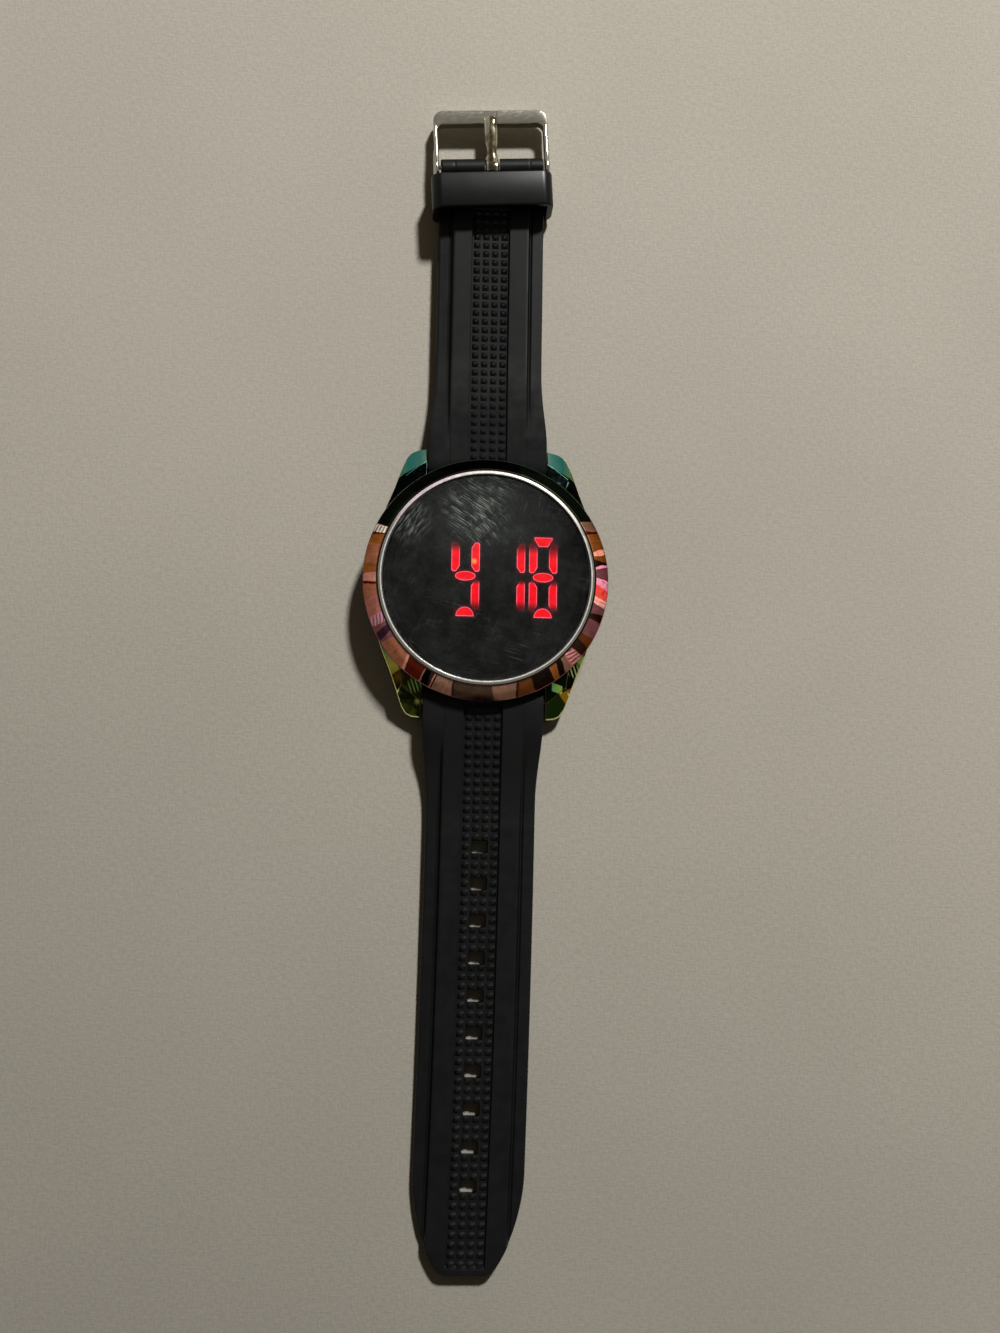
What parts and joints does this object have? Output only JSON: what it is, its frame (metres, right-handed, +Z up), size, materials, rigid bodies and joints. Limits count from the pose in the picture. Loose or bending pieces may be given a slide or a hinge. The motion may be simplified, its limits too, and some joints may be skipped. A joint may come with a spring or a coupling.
{
  "type": "led wristwatch",
  "caption": "Round touch-screen wristwatch with a red segment display behind dark glass, a faceted iridescent case, a black rubber strap, a keeper loop and a pin buckle.",
  "frame": {"origin": "centre of the case on the flat face of the case back, on which the watch lies", "axes": "+Y towards twelve o'clock and the buckle, +X towards three o'clock, +Z up out of the glass"},
  "size_m": [0.045, 0.2163, 0.0105],
  "materials": {
    "oiled_metal": "iridescent heat-coloured plating, polished, teal to yellow-green",
    "copper_metal": "iridescent plating, mirror polished, copper to pink",
    "polished_steel": "mirror polished",
    "brushed_steel": "fine circular brushing",
    "plain_steel": "plain turned or pressed",
    "dark_glass": "black mirror glass, lightly scratched",
    "black_film": "matt black film",
    "white_plastic": "moulded",
    "lit_red": "red light bars, lit",
    "unlit_bars": "clear bars, unlit",
    "board": "solder-masked board",
    "chip": "moulded",
    "gold_contact": "gold plated",
    "rubber_seal": "smooth",
    "strap_rubber": "matt black silicone rubber",
    "keeper_rubber": "satin black silicone rubber"
  },
  "bodies": {
    "case": {"case_middle": "oiled_metal", "case_back": "brushed_steel", "back_gasket": "rubber_seal", "back_screws": "plain_steel", "bezel": "copper_metal", "glass_ring": "polished_steel", "glass_gasket": "rubber_seal", "glass": "dark_glass", "display_mask": "black_film", "light_box": "white_plastic", "hour_digit": "lit_red", "tens_digit": "lit_red", "units_digit": "lit_red", "dark_segments": "unlit_bars", "display_board": "board", "driver_chip": "chip", "timing_crystal": "plain_steel", "touch_spring": "gold_contact", "movement_holder": "white_plastic", "coin_cell": "plain_steel", "cell_clip": "plain_steel", "cell_contact": "gold_contact", "upper_bar_tube": "plain_steel", "upper_bar_spring": "plain_steel", "lower_bar_tube": "plain_steel", "lower_bar_spring": "plain_steel"},
    "upper_bar_left": {"upper_bar_left_tip": "plain_steel"},
    "upper_bar_right": {"upper_bar_right_tip": "plain_steel"},
    "lower_bar_left": {"lower_bar_left_tip": "plain_steel"},
    "lower_bar_right": {"lower_bar_right_tip": "plain_steel"},
    "buckle_half": {"buckle_strap": "strap_rubber", "buckle_bar_tube": "plain_steel", "buckle_bar_spring": "plain_steel"},
    "hole_half": {"hole_strap": "strap_rubber"},
    "keeper": {"keeper": "keeper_rubber"},
    "frame": {"buckle_frame": "polished_steel"},
    "tongue": {"buckle_tongue": "polished_steel"},
    "buckle_bar_left": {"buckle_bar_left_tip": "plain_steel"},
    "buckle_bar_right": {"buckle_bar_right_tip": "plain_steel"}
  },
  "joints": [
    {"name": "buckle_strap_swing", "type": "hinge", "parent": "case", "child": "buckle_half", "pos_m": [0, 0.022, 0.0033], "axis": [1, 0, 0], "range_deg": [-75, 25]},
    {"name": "hole_strap_swing", "type": "hinge", "parent": "case", "child": "hole_half", "pos_m": [0, -0.022, 0.0033], "axis": [-1, 0, 0], "range_deg": [-75, 25]},
    {"name": "keeper_slide", "type": "slide", "parent": "buckle_half", "child": "keeper", "axis": [0, -1, 0], "range_m": [0, 0.022]},
    {"name": "buckle_swing", "type": "hinge", "parent": "buckle_half", "child": "frame", "pos_m": [0, 0.0806, 0.0034], "axis": [1, 0, 0], "range_deg": [-60, 50]},
    {"name": "tongue_lift", "type": "hinge", "parent": "frame", "child": "tongue", "pos_m": [0, 0.0806, 0.0034], "axis": [1, 0, 0], "range_deg": [0, 45]},
    {"name": "upper_bar_left_tip_press", "type": "slide", "parent": "case", "child": "upper_bar_left", "axis": [1, 0, 0], "range_m": [0, 0.0012], "stiffness_N_per_m": 400, "springref_m": -0.001},
    {"name": "upper_bar_right_tip_press", "type": "slide", "parent": "case", "child": "upper_bar_right", "axis": [-1, 0, 0], "range_m": [0, 0.0012], "stiffness_N_per_m": 400, "springref_m": -0.001},
    {"name": "lower_bar_left_tip_press", "type": "slide", "parent": "case", "child": "lower_bar_left", "axis": [1, 0, 0], "range_m": [0, 0.0012], "stiffness_N_per_m": 400, "springref_m": -0.001},
    {"name": "lower_bar_right_tip_press", "type": "slide", "parent": "case", "child": "lower_bar_right", "axis": [-1, 0, 0], "range_m": [0, 0.0012], "stiffness_N_per_m": 400, "springref_m": -0.001},
    {"name": "buckle_bar_left_tip_press", "type": "slide", "parent": "buckle_half", "child": "buckle_bar_left", "axis": [1, 0, 0], "range_m": [0, 0.0012], "stiffness_N_per_m": 400, "springref_m": -0.001},
    {"name": "buckle_bar_right_tip_press", "type": "slide", "parent": "buckle_half", "child": "buckle_bar_right", "axis": [-1, 0, 0], "range_m": [0, 0.0012], "stiffness_N_per_m": 400, "springref_m": -0.001}
  ]
}
